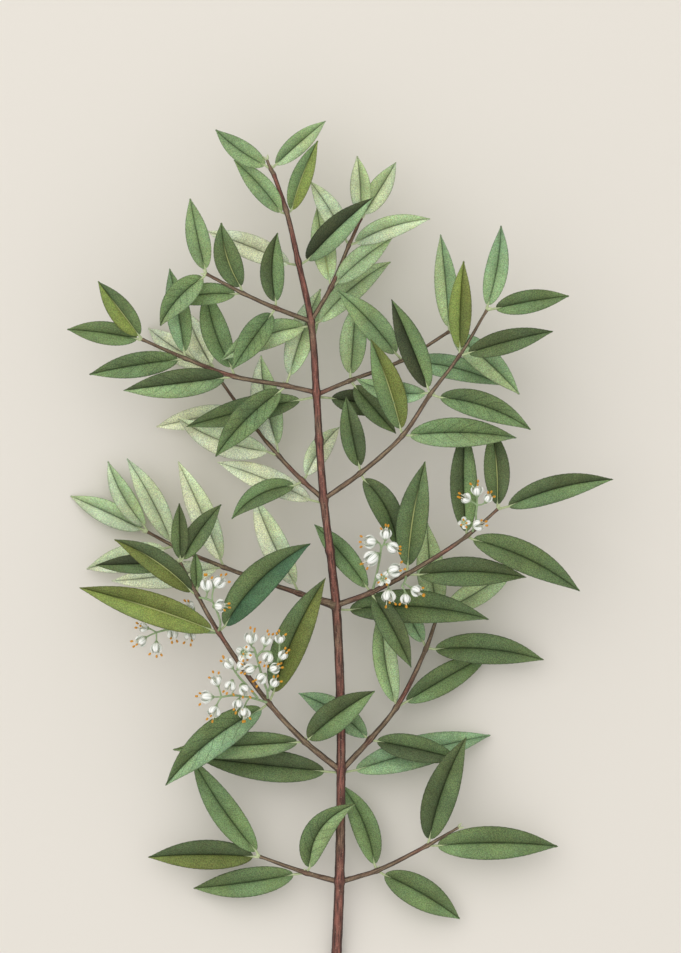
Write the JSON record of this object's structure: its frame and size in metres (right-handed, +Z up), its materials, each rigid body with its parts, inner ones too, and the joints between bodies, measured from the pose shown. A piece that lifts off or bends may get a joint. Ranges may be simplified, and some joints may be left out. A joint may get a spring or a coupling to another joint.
{
  "type": "cut flowering spray of phillyrea, lying down",
  "caption": "Cut flowering spray of phillyrea lying down: a straight woody stem, opposite side shoots, narrow pointed evergreen leaves in pairs and small white blossom.",
  "frame": {"origin": "on the surface that the spray lies on, under the middle of its bounding box", "axes": "+Y from the cut end of the main stem towards its tip, +X to the right when seen from above with the cut end nearest, +Z up from the surface"},
  "size_m": [0.2176, 0.3502, 0.0537],
  "materials": {
    "bark": "matt brown-purple bark with fine grooves",
    "foliage": "leathery green, paler underneath",
    "blossom": "soft white petals"
  },
  "bodies": {
    "root": {"blossom_far_right": "blossom", "blossom_fork_left": "blossom", "blossom_low_left": "blossom", "blossom_low_right": "blossom", "blossom_mid_left": "blossom", "blossom_under_right": "blossom", "bough_back_left": "bark", "bough_foot_left": "bark", "bough_foot_right": "bark", "bough_front_right": "bark", "bough_low_back_left": "bark", "bough_low_back_right": "bark", "bough_low_front_left": "bark", "bough_low_front_right": "bark", "bough_middle_left": "bark", "bough_middle_right": "bark", "bough_upper_left": "bark", "bough_upper_right": "bark", "foliage_back_left": "foliage", "foliage_foot_left": "foliage", "foliage_foot_right": "foliage", "foliage_front_right": "foliage", "foliage_leading_tip": "foliage", "foliage_low_back_left": "foliage", "foliage_low_back_right": "foliage", "foliage_low_front_left": "foliage", "foliage_low_front_right": "foliage", "foliage_middle_left": "foliage", "foliage_middle_right": "foliage", "foliage_upper_left": "foliage", "foliage_upper_right": "foliage", "leaf_fork_left": "foliage", "leaf_fork_right": "foliage", "leaf_high_left": "foliage", "leaf_high_right": "foliage", "leaf_low_right": "foliage", "leaf_middle_left": "foliage", "leaf_middle_right": "foliage", "leaf_shoulder_left": "foliage", "leaf_shoulder_right": "foliage", "leaf_upper_left": "foliage", "leaf_upper_right": "foliage", "leaf_waist_left": "foliage", "main_stem": "bark"}
  },
  "joints": []
}
